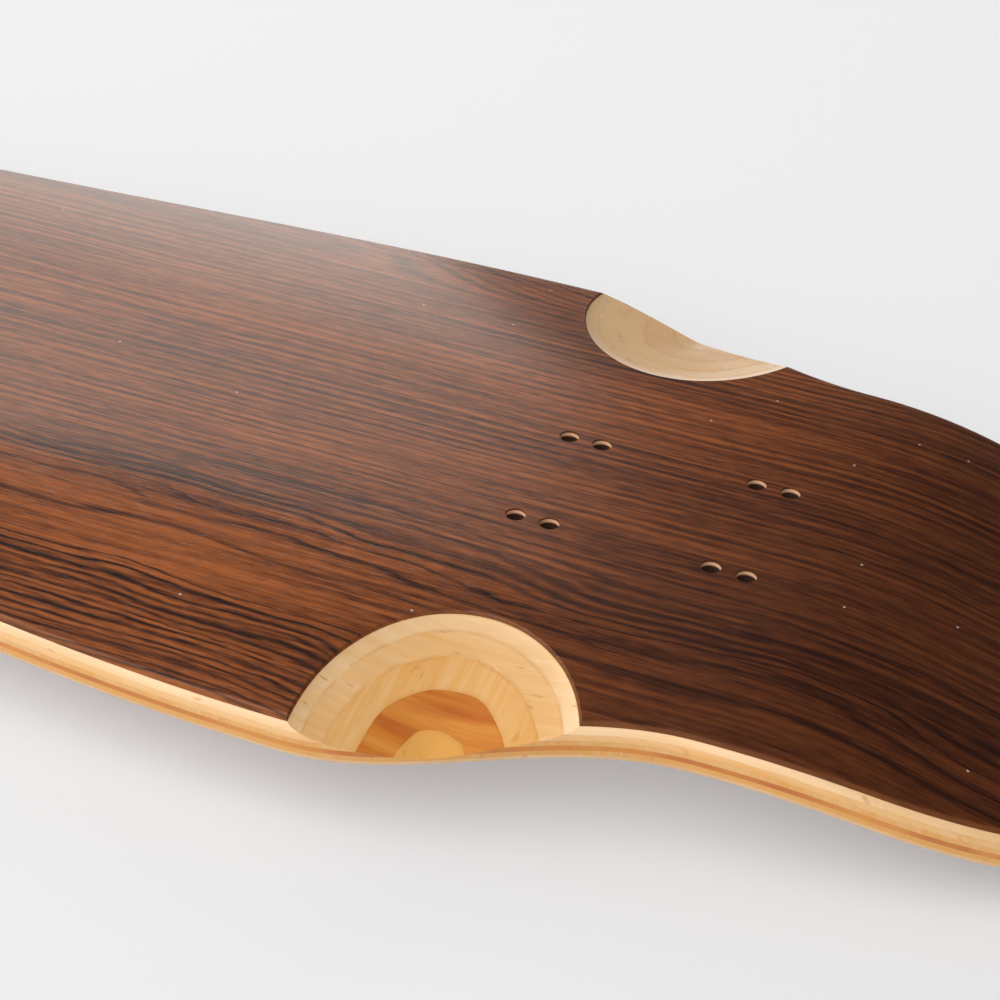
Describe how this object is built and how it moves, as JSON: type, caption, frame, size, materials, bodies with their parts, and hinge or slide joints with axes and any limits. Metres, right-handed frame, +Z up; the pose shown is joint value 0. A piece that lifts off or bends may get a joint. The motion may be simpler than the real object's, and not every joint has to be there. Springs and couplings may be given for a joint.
{
  "type": "longboard skateboard deck",
  "caption": "Bare pressed wooden longboard deck, laid underside up, with kicked tips, wheel wells and drilled truck pads.",
  "frame": {"origin": "centre of the deck, on the surface that its kicked tips stand on, underside up", "axes": "+X towards the nose, +Y across the deck, +Z up out of the truck side"},
  "size_m": [0.965, 0.23, 0.036],
  "materials": {
    "face_veneer": "glossy clear lacquer over dark striped veneer",
    "maple_long_grain": "satin lacquer over pale maple",
    "maple_cross_grain": "satin lacquer over maple laid across the deck",
    "maple_core": "satin lacquer over warm orange maple"
  },
  "bodies": {
    "root": {"underside_veneer": "face_veneer", "maple_ply_1": "maple_long_grain", "maple_ply_2": "maple_long_grain", "maple_ply_3": "maple_cross_grain", "maple_ply_4": "maple_core", "maple_ply_5": "maple_cross_grain", "maple_ply_6": "maple_long_grain", "maple_ply_7": "maple_long_grain", "topside_veneer": "face_veneer"}
  },
  "joints": []
}
